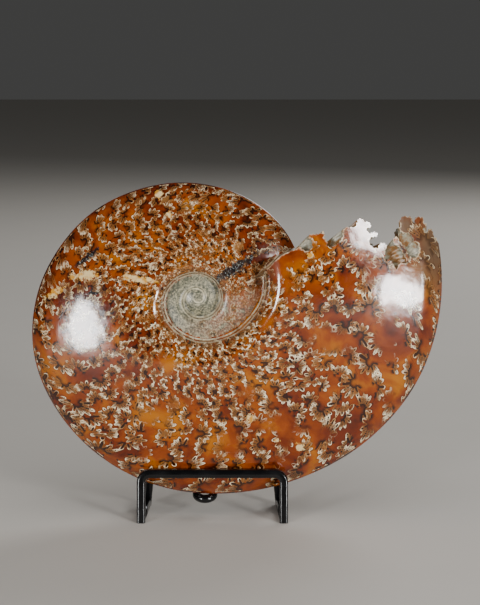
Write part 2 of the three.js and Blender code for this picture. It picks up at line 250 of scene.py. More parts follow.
@dataclass(frozen=True)
class BrokenEnd:
    """The edge of the last septum, where the coil is broken off, in millimetres.

    Each line is (right, up) from the middle of the coil. It climbs across the older whorl and
    then stands free as a fringe of lobes.
    """

    over_old_whorl: Table = (
        (17.5, 5.4), (21.5, 7.2), (23.2, 8.6), (24.5, 10.6), (27.5, 12.3), (29.6, 14.7),
        (32.3, 17.0), (33.8, 17.8), (37.8, 19.3))
    inner_fringe: Table = (
        (37.8, 19.3), (39.1, 20.1), (40.1, 19.1), (41.9, 18.4), (43.2, 19.1), (43.9, 20.1),
        (43.8, 21.5), (43.5, 23.0), (42.5, 23.6), (43.0, 24.7), (44.7, 24.9), (46.2, 25.0),
        (47.3, 25.4), (47.9, 26.0), (48.5, 25.1), (48.3, 23.6), (49.1, 22.5), (49.7, 21.5),
        (49.3, 20.5), (50.3, 20.2), (51.6, 20.2), (53.0, 20.7), (54.0, 21.7), (55.1, 23.2),
        (55.6, 24.4), (55.5, 25.8), (56.3, 27.2), (57.7, 27.6), (59.4, 27.5), (60.4, 27.7),
        (61.0, 29.1), (61.5, 30.5), (62.5, 30.8), (63.6, 30.1), (64.3, 29.4), (65.3, 29.6),
        (66.1, 28.7), (66.4, 28.0), (65.7, 27.3), (64.5, 27.1), (65.1, 25.8), (66.1, 25.1),
        (67.6, 25.6), (68.8, 25.2), (68.9, 24.2), (67.8, 23.9), (66.4, 23.6), (65.7, 22.3),
        (65.9, 21.1), (66.8, 20.0), (68.0, 19.5), (69.2, 19.7), (69.7, 21.0), (70.9, 21.5),
        (72.3, 21.0), (72.5, 19.9), (71.8, 18.8))
    near_notch: Table = (
        (71.8, 18.8), (71.9, 16.8), (71.6, 15.6), (72.3, 14.5), (73.3, 15.2), (74.4, 14.5),
        (75.6, 12.3), (76.6, 11.3), (77.2, 12.9), (78.3, 13.9), (79.5, 13.5), (80.5, 14.1),
        (79.7, 16.2), (78.5, 18.2), (77.2, 20.1), (75.8, 20.7), (75.3, 21.9), (75.1, 22.8),
        (75.8, 23.7), (76.8, 23.6), (77.5, 22.1), (78.5, 21.1), (79.9, 19.3), (81.1, 17.0),
        (82.8, 15.8), (84.6, 16.2), (85.3, 18.6), (84.8, 21.5), (83.4, 21.7), (82.8, 23.6),
        (81.1, 25.1), (78.9, 25.2))
    far_notch: Table = (
        (71.8, 18.8), (71.9, 18.5), (72.7, 18.4), (73.9, 19.1), (75.2, 20.1), (75.3, 21.3),
        (75.1, 22.8), (75.8, 23.7), (76.8, 23.6), (77.4, 22.3), (78.5, 21.7), (78.9, 22.6),
        (78.7, 24.2), (78.9, 25.2))
    outer_fringe: Table = (
        (78.9, 25.2), (77.8, 26.2), (77.4, 27.3), (78.0, 28.1), (77.5, 29.7), (78.5, 31.2),
        (79.5, 31.8), (80.7, 31.4), (81.9, 31.6), (82.7, 30.5), (82.8, 29.5), (83.6, 29.3),
        (83.8, 30.8), (84.8, 31.4), (86.3, 31.3), (87.3, 30.8), (87.3, 29.3), (88.3, 28.7),
        (88.3, 27.7), (87.3, 27.1), (87.5, 25.8), (88.7, 25.6), (89.1, 26.4), (90.2, 26.8),
        (91.1, 26.0), (91.2, 24.6), (91.8, 23.7), (92.6, 23.2), (93.4, 21.5))
    floor: Table = (
        (17.5, 5.4), (26, 8), (38, 12.5), (50, 13.5), (62, 12), (74, 8.5), (84, 10), (90, 15),
        (93.4, 21.5))
    drop: Table = (
        (0, 1), (0.25, 0.95), (0.5, 0.74), (0.72, 0.36), (0.87, 0.04), (0.93, 0), (1, 0))
    far_rim_lowered: Table = (
        (36, 0), (42, 4.5), (87, 4.5), (93, 0))
    counts: tuple[int, int, int, int] = (28, 260, 150, 170)
    scallop_length: float = 1.5
    scallop_depth: float = 0.42
    scallop_mean: float = 0.6
    scallop_sway: float = 0.8
    sway_length: float = 2.3
    plain_ends: float = 2.0

    def edge_over(self) -> Points:
        """Returns the edge where it lies on the older whorl."""
        return rounded_line(self.over_old_whorl, self.counts[0])

    def fringe(self, side: Flank) -> Points:
        """Draws the free fringe of one flank, from the older whorl to the keel.

        Args:
            side: which flank.

        Returns:
            Rows of (right, up).
        """
        notch = self.near_notch if side is Flank.NEAR else self.far_notch
        parts = zip((self.inner_fringe, notch, self.outer_fringe), self.counts[1:])
        lines = [rounded_line(part, count) for part, count in parts]
        line = np.vstack([lines[0][:-1], lines[1][:-1], lines[2]])
        along = unit(np.gradient(line, axis=0))
        run = run_along(line)
        sway = self.scallop_sway * np.sin(run / self.sway_length)
        wave = np.abs(np.sin(math.pi * run / self.scallop_length + sway))
        ends = np.clip(np.minimum(run, run[-1] - run) / self.plain_ends, 0, 1)
        depth = self.scallop_depth * (wave - self.scallop_mean) * ends
        line = line + np.column_stack([-along[:, 1], along[:, 0]]) * depth[:, None]
        if side is Flank.FAR:
            line[:, 1] -= np.interp(line[:, 0], *zip(*self.far_rim_lowered))
        return line

    def is_past(self, points: Points) -> np.ndarray:
        """Tells which points lie past the edge, on the older whorl that it leaves bare.

        Args:
            points: rows of (right, up).

        Returns:
            One boolean a point.
        """
        edge = self.edge_over()
        limit = np.interp(points[:, 0], edge[:, 0], edge[:, 1], left=-90, right=90)
        return (points[:, 1] > limit) & (points[:, 1] > 0) & (points[:, 0] > 0)


@dataclass(frozen=True)
class SutureStyle:
    """How the suture lines of one flank are drawn, in millimetres and degrees.

    A suture is the frilled line where a chamber wall meets the shell. It is a chain of lobes
    that point forwards and backwards by turns, and each lobe is a frond with petals round it.
    """

    seed: int = 4
    spacing: float = 7.6
    first: float = -14
    last: float = 366
    wander: float = 1.3
    # A frond's radius: the share of the room that it fills, its limits and how it varies.
    fill: float = 0.64
    largest: float = 5.4
    smallest: float = 2.2
    sizes: tuple[float, float] = (0.78, 1.15)
    neck: float = 0.76
    sweep_deg: float = 136.0
    tilt: float = 0.35
    reach_ahead: tuple[float, float] = (0.68, 1.1)
    # Its petals.
    heart: float = 0.36
    petal_width: float = 2.7
    petal_widths: tuple[float, float] = (0.65, 1.35)
    petal_lengths: tuple[float, float] = (0.72, 1.12)
    bluntness: float = 0.6
    pinch: float = 0.07
    frill: float = 0.045
    # How many petals the join with the next lobe takes, and where it fades.
    join: float = 0.75
    join_fade: float = 0.2
    # How finely the lines and the stone between them are cut into triangles.
    step: float = 0.46
    lattice: float = 0.9
    curve: Table = (
        (0, 0), (0.15, -4), (0.3, -7.5), (0.5, -9), (0.7, -7), (0.85, -2), (1, 5))


class SutureLines:
    """The suture lines of one flank, as polylines in the plane of the coil."""

    def __init__(self, coil: Coil, style: SutureStyle, outline: Points, end: BrokenEnd) -> None:
        """Draws every line and keeps the stretches that show on the flank.

        Args:
            coil: the coil's form.
            style: how the lines are drawn.
            outline: the flank's outline as a closed polygon.
            end: the broken end.
        """
        self.coil = coil
        self.style = style
        self.lines: list[Points] = []
        random = np.random.default_rng(style.seed)
        angle = style.first
        while angle < style.last:
            line = self.draw(angle + random.uniform(-style.wander, style.wander), random)
            shown = self.shows(line, outline, end)
            cuts = np.flatnonzero(np.diff(shown.astype(int))) + 1
            for run in np.split(np.arange(len(line)), cuts):
                if shown[run[0]] and len(run) > 3:
                    self.lines.append(line[run])
            angle += style.spacing

    def frond(self, middle: float, side: int, radius: float,
              random: np.random.Generator) -> Points:
        """Draws one lobe of a suture.

        Args:
            middle: how far out from the seam its middle is.
            side: 1 if it points forwards, -1 backwards.
            radius: its radius.
            random: source of its irregularity.

        Returns:
            Rows of (outwards, forwards, which side of the line is inside, nearness to a
            petal's tip or -1 between lobes).
        """
        style = self.style
        sweep = math.radians(style.sweep_deg)
        width = style.petal_width * (0.3 + 0.7 * radius / style.largest)
        petals = max(3, round(2 * sweep * radius / width))
        bounds = np.concatenate([[0], np.cumsum(random.uniform(*style.petal_widths, petals))])
        lengths = random.uniform(*style.petal_lengths, petals)
        length = 2 * petals * radius * (1 - style.heart) + sweep * radius
        step = style.step * (0.45 + 0.55 * radius / style.largest)
        phase = np.linspace(0.5, petals - 0.5, max(24, int(length / step)))
        petal = np.minimum(phase.astype(int), petals - 1)
        across = phase - petal
        wave = (0.5 - 0.5 * np.cos(2 * math.pi * across)) ** style.bluntness
        reach = style.heart + (1 - style.heart) * wave * lengths[petal]
        reach -= style.frill * np.cos(6 * math.pi * across) * wave
        spread = phase + style.pinch * np.sin(4 * math.pi * across)
        turn = np.interp(spread, np.arange(petals + 1), bounds) / bounds[-1]
        turn = (2 * turn - 1) * sweep + random.uniform(-style.tilt, style.tilt)
        out = middle + radius * reach * np.sin(turn)
        stem, ahead_share = style.reach_ahead
        ahead = side * radius * (stem + ahead_share * reach * np.cos(turn))
        # The stretches that join one lobe to the next don't show, and are marked with -1.
        shown = np.clip((np.minimum(phase, petals - phase) - style.join) / style.join_fade, 0, 1)
        mark = wave * shown - (1 - shown)
        return np.column_stack([out, ahead, np.full(len(out), -side), mark])

    def draw(self, angle: float, random: np.random.Generator) -> Points:
        """Draws one suture from the seam to the keel.

        Args:
            angle: where it leaves the seam.
            random: source of its irregularity.

        Returns:
            Rows of (right, up, angle back along the coil, which side of the line is inside a
            lobe, nearness to a petal's tip or -1 between lobes).
        """
        style, coil = self.style, self.coil
        seam, keel = (float(radius[0]) for radius in coil.radii(np.array([angle])))
        height = keel - seam
        fronds, x, side = [], random.uniform(0.0, 1.6), 1
        while x < height:
            room = math.radians(style.spacing) * (seam + x)
            radius = float(np.clip(style.fill * room, style.smallest, style.largest))
            fronds.append(self.frond(x + style.neck * radius, side,
                                     radius * random.uniform(*style.sizes), random))
            x += 2 * style.neck * radius
            side = -side
        out, ahead, inner, tip = np.vstack(fronds).T
        share = np.clip(out / height, 0.004, 0.985)
        back = angle + smooth_table(style.curve, share)
        back -= np.degrees(ahead / (seam + np.maximum(out, 2.0)))
        return np.column_stack([coil.place(back, share), back, inner, tip])

    def shows(self, line: Points, outline: Points, end: BrokenEnd) -> np.ndarray:
        """Tells which of a line's points lie on the visible surface of the flank.

        Args:
            line: rows of (right, up, angle back along the coil).
            outline: the flank's outline.
            end: the broken end.

        Returns:
            One boolean a point.
        """
        points = line[:, :2]
        top = self.coil.height(points, end.is_past(points))
        own = np.full(len(points), -np.inf)
        for turn in (-1, 0, 1):
            mine = np.abs(line[:, 2] - self.coil.angle(points) - 360 * turn) < 1
            own = np.where(mine, self.coil.whorl_height(points, turn), own)
        return inside_polygon(points, outline) & (own > top - 0.5)


class NearestLine:
    """Measures from points to the nearest of several lines in the plane of the coil."""

    def __init__(self, lines: Sequence[Points]) -> None:
        """Stands each piece of line up as a thin triangle and keeps them in a search tree.

        Args:
            lines: rows of (right, up), with a suture's marks after them where it has any.
        """
        corners: list[tuple[float, float, float]] = []
        faces: list[tuple[int, int, int]] = []
        self.pieces: list[tuple[float, float, float, float, float, float]] = []
        for line in lines:
            marks = line[:, 3:5] if line.shape[1] > 4 else np.zeros((len(line), 2))
            for (ax, ay), (bx, by), (inner, tip) in zip(line[:-1, :2], line[1:, :2], marks):
                first = len(corners)
                corners += [(ax, ay, 0.0), (bx, by, 0.0), ((ax + bx) / 2, (ay + by) / 2, 1.0)]
                faces.append((first, first + 1, first + 2))
                self.pieces.append((ax, ay, bx - ax, by - ay, inner, tip))
        self.tree = BVHTree.FromPolygons(corners, faces)

    def distance(self, points: Points) -> np.ndarray:
        """Returns each point's distance to the nearest line, in millimetres."""
        return np.array([self.tree.find_nearest((x, y, 0.0))[3] for x, y in points])

    def frond_marks(self, points: Points) -> tuple[np.ndarray, np.ndarray]:
        """Tells where points lie by the nearest line's fronds.

        Args:
            points: rows of (right, up).

        Returns:
            1 inside a lobe, -1 outside it and 0 on the line itself, and how near the line is
            there to the tip of a petal, 0 to 1, or -1 between lobes.
        """
        inside, tips = np.empty(len(points)), np.empty(len(points))
        for i, (x, y) in enumerate(points):
            _, _, face, distance = self.tree.find_nearest((x, y, 0.0))
            ax, ay, dx, dy, inner, tips[i] = self.pieces[face]
            left = dx * (y - ay) - dy * (x - ax)
            inside[i] = math.copysign(1.0, inner * left) if distance > ON_LINE_MM else 0.0
        return inside, tips


@dataclass
class Surface:
    """One stretch of the fossil's surface, with places in millimetres and unit normals."""

    places: np.ndarray
    normals: np.ndarray
    faces: np.ndarray
    values: dict[str, np.ndarray]
    slot: int = 0

    def only(self, chosen: np.ndarray) -> "Surface":
        """Returns the surface made of some triangles, given one boolean a triangle."""
        kept, faces = np.unique(self.faces[chosen], return_inverse=True)
        return Surface(self.places[kept], self.normals[kept], faces.reshape(-1, 3),
                       {name: value[kept] for name, value in self.values.items()})


def srgb(colour: str) -> tuple[float, float, float, float]:
    """Turns an sRGB hex colour to linear.

    Args:
        colour: such as "#a0522d".

    Returns:
        Linear red, green and blue, and an alpha of 1.
    """
    channels = [int(colour[i:i + 2], 16) / 255 for i in (1, 3, 5)]
    linear = [c / 12.92 if c <= 0.04045 else ((c + 0.055) / 1.055) ** 2.4 for c in channels]
    return (*linear, 1.0)


class NodeBoard:
    """A material's node tree with one way to add nodes."""

    def __init__(self, name: str) -> None:
        """Makes a material with an output node and the object's own coordinates.

        Args:
            name: the finish that it is named for.
        """
        self.material = bpy.data.materials.new(name)
        self.material.use_nodes = True
        self.tree = self.material.node_tree
        self.tree.nodes.clear()
        self.output = self.tree.nodes.new("ShaderNodeOutputMaterial")
        self.place = self.add("TexCoord", out="Object")

    def add(self, kind: str, inputs: Union[dict, Sequence] = (), out: Any = 0,
            stops: Sequence[tuple[float, str]] = (), **settings: Any) -> bpy.types.NodeSocket:
        """Adds one node with its settings and links.

        Args:
            kind: the node's type, without the ShaderNode prefix.
            inputs: one entry a socket, in their order or by name or number: a number, a hex
                colour, or the socket that feeds it.
            out: name or number of the output to return.
            stops: place and hex colour of each stop, where the node is a colour ramp.
            settings: attributes of the node itself.

        Returns:
            The node's output socket.
        """
        node = self.tree.nodes.new("ShaderNode" + kind)
        for name, value in settings.items():
            setattr(node, name, value)
        for place, colour in stops[1:]:
            node.color_ramp.elements.new(place).color = srgb(colour)
        for place, colour in stops[:1]:
            node.color_ramp.elements[0].position = place
            node.color_ramp.elements[0].color = srgb(colour)
            node.color_ramp.elements.remove(node.color_ramp.elements[-1])
        for key, value in inputs.items() if isinstance(inputs, dict) else enumerate(inputs):
            if isinstance(value, bpy.types.NodeSocket):
                self.tree.links.new(value, node.inputs[key])
            else:
                node.inputs[key].default_value = srgb(value) if isinstance(value, str) else value
        return node.outputs[out]

    def finish(self, shader: bpy.types.NodeSocket) -> bpy.types.Material:
        """Links a shader to the output and returns the material."""
        self.tree.links.new(shader, self.output.inputs["Surface"])
        return self.material


@dataclass(frozen=True)
class PolishedCalcite:
    """Calcite that filled the chambers, ground down and polished to a gloss.

    Light goes a little way into it, so it glows amber, and it shows clouds of rust and honey.
    The chamber walls show in it as cream lines with a dark stain on their inner side. In the
    umbilicus the shell itself is left, grey-green and pearly.
    """

    amber: str = "#873a01"
    honey: str = "#a66003"
    rust: str = "#642001"
    umber: str = "#220c02"
    stain: str = "#1a0a04"
    suture: str = "#a2703a"
    # Cream of the petal tips; also the pale broken edge, which is partly a painted highlight.
    cream_and_rim_highlight: str = "#ffedc6"
    pearl: str = "#6f6f5c"
    pearl_light: str = "#b3a98b"
    pearl_dark: str = "#34352a"
    pearl_gold: str = "#8a5410"
    pearl_rose: str = "#946048"
    seam_line: str = "#d6cdae"
    patch_rim: str = "#dcc08a"
    patch_heart: str = "#c4892b"
    smoke_grey: str = "#665440"
    slate: str = "#12181c"
    slate_light: str = "#6f7b7d"
    line_half_width_mm: float = 0.105
    stain_strength: float = 0.93
    wave_depth_mm: float = 0.08
    pit_depth_mm: float = 0.02
    # The seam's two pale lines: height on the wall, half widths where each starts and ends to
    # fade, and strength.
    seam_lines: tuple = ((0.45, 0.12, 0.42, 0.9), (1.35, 0.1, 0.35, 0.6))
    # The size in millimetres of each pattern: clouds, depth under the polish, grain, glow,
    # cream, torn edges, the nacre's tint, and the waves that polishing leaves.
    patterns: tuple = (
        (16.0, {"Detail": 4.0, "Roughness": 0.55, "Distortion": 0.6}),
        (13.0, {"Detail": 2.0, "W": 3.0}), (0.7, {"Detail": 2.0}),
        (8.5, {"Detail": 3.0, "W": 9.0}), (3.0, {"Detail": 2.0}),
        (1.7, {"Detail": 6.0, "Roughness": 0.75}), (4.0, {"Detail": 5.0, "Roughness": 0.7}),
        (5.5, {"Detail": 1.0}))

    def material(self) -> bpy.types.Material:
        """Builds the flanks' material from the values kept on the mesh.

        Returns:
            The material.
        """
        board = NodeBoard("polished_calcite")
        add = board.add
        away, lobe_side, tip, seam, edge, age, patch, smoke, crack = (
            add("Attribute", attribute_name=name, out="Fac") for name in FLANK_VALUES)
        cloud, depth, fine, glow, lit, torn, tint, swell = (
            add("TexNoise", {"Vector": board.place, "Scale": 1 / (size_mm * MM), **inputs},
                noise_dimensions="4D" if "W" in inputs else "3D")
            for size_mm, inputs in self.patterns)

        # The stone: clouds of rust, amber and honey, redder on the older half of the coil, and
        # clear and greyish near the keel's broken end.
        older = add("MapRange", (age, 0.42, 0.62, 0.0, 0.05), **SOFT)
        tone = add("Math", (cloud, older), operation="SUBTRACT")
        flank = add("ValToRGB", (tone,), stops=(
            (0.22, self.umber), (0.38, self.rust), (0.52, self.amber), (0.68, self.honey)))
        clear = add("Math", (cloud, 1.2, smoke), operation="MULTIPLY_ADD")
        clear = add("MapRange", (clear, 0.35, 1.35, 0.0, 0.85), **SOFT)
        covered = add("MapRange", (clear, 0.0, 1.0, 1.0, 0.45))

        # The sutures: pale lines, dark inside each lobe. Where they lie deeper they fade.
        shown = add("MapRange", (depth, 0.34, 0.46, 0.0, 1.0), **SOFT)
        shown = add("Math", (shown, add("MapRange", (age, 0.4, 0.6))), operation="MAXIMUM")
        grown = add("MapRange", (age, 0.2, 0.9, 1.0, 0.7))
        away = add("Math", (away, grown), operation="DIVIDE")
        ragged = add("Math", (fine, 0.2, away), operation="MULTIPLY_ADD")
        width = self.line_half_width_mm + 0.1
        line = add("MapRange", (ragged, width - 0.04, width + 0.07, 1.0, 0.0), **SOFT)
        in_lobe = add("MapRange", (tip, -0.7, -0.2))
        tipped = add("Math", (add("MapRange", (tip, 0.3, 0.85, 0.4, 1.0)), in_lobe), **TIMES)
        for factor in (shown, tipped, covered):
            line = add("Math", (line, factor), **TIMES)
        inner = add("MapRange", (away, 0.4, 1.9, 1.0, 0.0), **SOFT)
        inner = add("Math", (inner, add("MapRange", (lobe_side, -0.1, 0.2))), **TIMES)
        outer = add("MapRange", (away, 0.15, 0.7, 0.5, 0.0), **SOFT)
        dark = add("Math", (inner, outer), operation="MAXIMUM")
        for factor in (shown, in_lobe, self.stain_strength, covered):
            dark = add("Math", (dark, factor), **TIMES)

        # Here and there crowded sutures scatter the light, and the stone between them is cream.
        haze = add("MapRange", (glow, 0.62, 0.78), **SOFT)
        near_line = add("MapRange", (away, 0.2, 0.7, 0.5, 0.0), **SOFT)
        for factor in (near_line, shown, in_lobe):
            haze = add("Math", (haze, factor), **TIMES)
        cream = add("Math", (tip, 0.3, lit), operation="MULTIPLY_ADD")
        cream = add("MapRange", (cream, 0.6, 0.9), **SOFT)
        young = add("MapRange", (age, 0.42, 0.62, 1.0, 0.65))
        cream = add("Math", (cream, young), **TIMES)

        # Patches of plain cream calcite, and one dark cracked place beside the umbilicus.
        frayed = add("Math", (torn, 4.0, patch), operation="MULTIPLY_ADD")
        patched = add("MapRange", (frayed, 2.22, 2.34), **SOFT)
        heart = add("MapRange", (lit, 0.45, 0.6), **SOFT)
        broken = add("Math", (torn, 3.0, crack), operation="MULTIPLY_ADD")
        cracked = add("MapRange", (broken, 1.7, 1.9, 0.0, 0.9), **SOFT)
        streak = add("MapRange", (fine, 0.55, 0.66), **SOFT)

        # The umbilicus: pearly shell, gold and rose on the newer side and grey-green inside.
        nacre = add("ValToRGB", (tint,), stops=(
            (0.3, self.pearl_dark), (0.48, self.pearl), (0.7, self.pearl_light)))
        warm = add("ValToRGB", (tint,), stops=(
            (0.3, self.umber), (0.42, self.pearl_gold), (0.52, self.pearl_rose),
            (0.64, self.pearl), (0.74, self.pearl_light)))
        ring = add("MapRange", (age, 1.0, 1.42, 0.95, 0.0), **SOFT)
        speck = add("MapRange", (fine, 0.54, 0.64, 0.0, 0.75), **SOFT)
        grain = add("MapRange", (fine, 0.36, 0.46, 0.8, 0.0), **SOFT)
        for share, colour in ((ring, warm), (speck, self.pearl_light), (grain, self.pearl_dark)):
            nacre = add("Mix", {0: share, 6: nacre, 7: colour}, 2, **RGBA)
        sunk = add("MapRange", (age, 0.93, 1.04), **SOFT)

        # The seam is a pale line, with a fainter one up the umbilical wall.
        pale = []
        for height, full, gone, strength in self.seam_lines:
            off = add("Math", (seam, height), operation="SUBTRACT")
            off = add("Math", (off,), operation="ABSOLUTE")
            pale.append(add("MapRange", (off, full, gone, strength, 0.0), **SOFT))
        worn = add("MapRange", (tint, 0.38, 0.56, 0.25, 1.0), **SOFT)
        pale = add("Math", (add("Math", pale, operation="MAXIMUM"), worn), **TIMES)

        # The broken edge is thin and pale: partly the stone's own cream, partly a painted
        # highlight along the lit edge.
        rim = add("Math", (edge, add("Math", (tint, 3.4), **TIMES)), operation="SUBTRACT")
        rim = add("MapRange", (rim, -2.1, -1.2, 0.65, 0.0), **SOFT)

        line_colour, patch_colour, slate = (
            add("Mix", {0: share, 6: low, 7: high}, 2, **RGBA) for share, low, high in (
                (cream, self.suture, self.cream_and_rim_highlight),
                (heart, self.patch_rim, self.patch_heart),
                (streak, self.slate, self.slate_light)))
        # The rim's cream is partly a painted highlight of the lit broken edge.
        for share, colour in (
                (clear, self.smoke_grey), (dark, self.stain), (haze, self.suture),
                (line, line_colour), (patched, patch_colour), (cracked, slate), (sunk, nacre),
                (pale, self.seam_line), (rim, self.cream_and_rim_highlight)):
            flank = add("Mix", {0: share, 6: flank, 7: colour}, 2, **RGBA)

        rough = add("MapRange", (fine, 0.3, 0.7, 0.07, 0.15))
        rough = add("MapRange", (sunk, 0.0, 1.0, rough, 0.34))
        waves = add("Bump", {"Height": swell, "Strength": 1.0,
                             "Distance": self.wave_depth_mm * MM}, "Normal")
        pits = add("Bump", {"Height": fine, "Strength": 0.25,
                            "Distance": self.pit_depth_mm * MM, "Normal": waves}, "Normal")
        return board.finish(add("BsdfPrincipled", {
            "Base Color": flank, "Roughness": rough, "IOR": 1.6, "Normal": pits}))


@dataclass(frozen=True)
class ChamberWall:
    """The last chamber's wall, bare nacre that was broken clean and never polished.

    It is pearly and thin, so it looks grey-green in its folds. Its pale rim is partly the thin
    nacre's own colour and partly a painted highlight of the lit edge.
    """

    fold: str = "#4f4a38"
    wall: str = "#93907c"
    # The rim colour: partly the nacre's own, partly a painted highlight of the lit edge.
    rim: str = "#eadfc8"
    stain: str = "#8a5a22"
    mottle_mm: float = 5.0
    roughness_mm: float = 0.3

    def material(self) -> bpy.types.Material:
        """Builds the wall's material from its depth below the rim.

        Returns:
            The material.
        """
        board = NodeBoard("chamber_nacre")
        add = board.add
        depth = add("Attribute", attribute_name="edge_mm", out="Fac")
        mottle = add("TexNoise", {"Vector": board.place, "Scale": 1 / (self.mottle_mm * MM),
                                  "Detail": 5.0, "Roughness": 0.65})
        wall = add("ValToRGB", (mottle,), stops=(
            (0.3, self.fold), (0.45, self.stain), (0.56, self.wall), (0.75, self.rim)))
        # Painted highlight along the rim: the wall turns pale within a millimetre of it, partly
        # its own colour.
        pale = add("MapRange", (depth, 0.1, 0.8, 0.5, 0.0), **SOFT)
        colour = add("Mix", {0: pale, 6: wall, 7: self.rim}, 2, **RGBA)
        rough = add("MapRange", (mottle, 0.3, 0.7, 0.25, 0.45))
        bump = add("Bump", {"Height": mottle, "Strength": 0.3,
                            "Distance": self.roughness_mm * MM}, "Normal")
        return board.finish(add("BsdfPrincipled", {
            "Base Color": colour, "Roughness": rough, "IOR": 1.6, "Normal": bump}))


@dataclass(frozen=True)
class StovedEnamel:
    """Black enamel, sprayed on steel bar and stoved: glossy, with a slight orange peel."""

    black: str = "#060607"
    dust: str = "#101012"
    cloud_mm: float = 9.0
    peel_mm: float = 1.1
    peel_depth_mm: float = 0.03

    def material(self) -> bpy.types.Material:
        """Builds the stand's material.

        Returns:
            The material.
        """
        board = NodeBoard("black_stoved_enamel")
        add = board.add
        cloud = add("TexNoise", {"Vector": board.place, "Scale": 1 / (self.cloud_mm * MM),
                                 "Detail": 4.0})
        share = add("MapRange", (cloud, 0.45, 0.75))
        colour = add("Mix", {0: share, 6: self.black, 7: self.dust}, 2, **RGBA)
        rough = add("MapRange", (cloud, 0.3, 0.7, 0.13, 0.22))
        peel = add("TexNoise", {"Vector": board.place, "Scale": 1 / (self.peel_mm * MM)})
        bump = add("Bump", {"Height": peel, "Strength": 0.2,
                            "Distance": self.peel_depth_mm * MM}, "Normal")
        return board.finish(add("BsdfPrincipled", {
            "Base Color": colour, "Roughness": rough, "IOR": 1.5, "Normal": bump}))


def put_in_scene(name: str, data: Any) -> bpy.types.Object:
    """Makes an object and puts it in the scene.

    Args:
        name: the object's name.
        data: its mesh, light or camera.

    Returns:
        The object.
    """
    made = bpy.data.objects.new(name, data)
    bpy.context.scene.collection.objects.link(made)
    return made


def move_to_node(places: np.ndarray, node: str) -> np.ndarray:
    """Moves a piece's vertices so that it stands where its CAD node does.

    Args:
        places: vertex positions in millimetres.
        node: the CAD node that the piece stands for.

    Returns:
        Vertex positions in metres, centred on the node and level with its lowest point.
    """
    low, high = (np.array(corner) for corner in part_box(node))
    own_low, own_high = places.min(axis=0) * MM, places.max(axis=0) * MM
    shift = (low + high - own_low - own_high) / 2
    shift[2] = low[2] - own_low[2]
    return places * MM + shift


def make_piece(name: str, places: np.ndarray, faces: Sequence, node: str,
               materials: Sequence[bpy.types.Material]) -> bpy.types.Object:
    """Makes a smooth-shaded piece that stands for a CAD node.

    Args:
        name: the piece's name.
        places: vertex positions in metres.
        faces: the faces, by vertex number.
        node: the CAD node that it stands for.
        materials: the piece's materials.

    Returns:
        The new object.
    """
    mesh = bpy.data.meshes.new(name)
    mesh.from_pydata(places.tolist(), [], [tuple(face) for face in faces])
    mesh.polygons.foreach_set("use_smooth", np.ones(len(faces), dtype=bool))
    for material in materials:
        mesh.materials.append(material)
    piece = put_in_scene(name, mesh)
    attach(piece, "root")
    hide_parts(node)
    log.info("%s: %d faces", name, len(faces))
    return piece


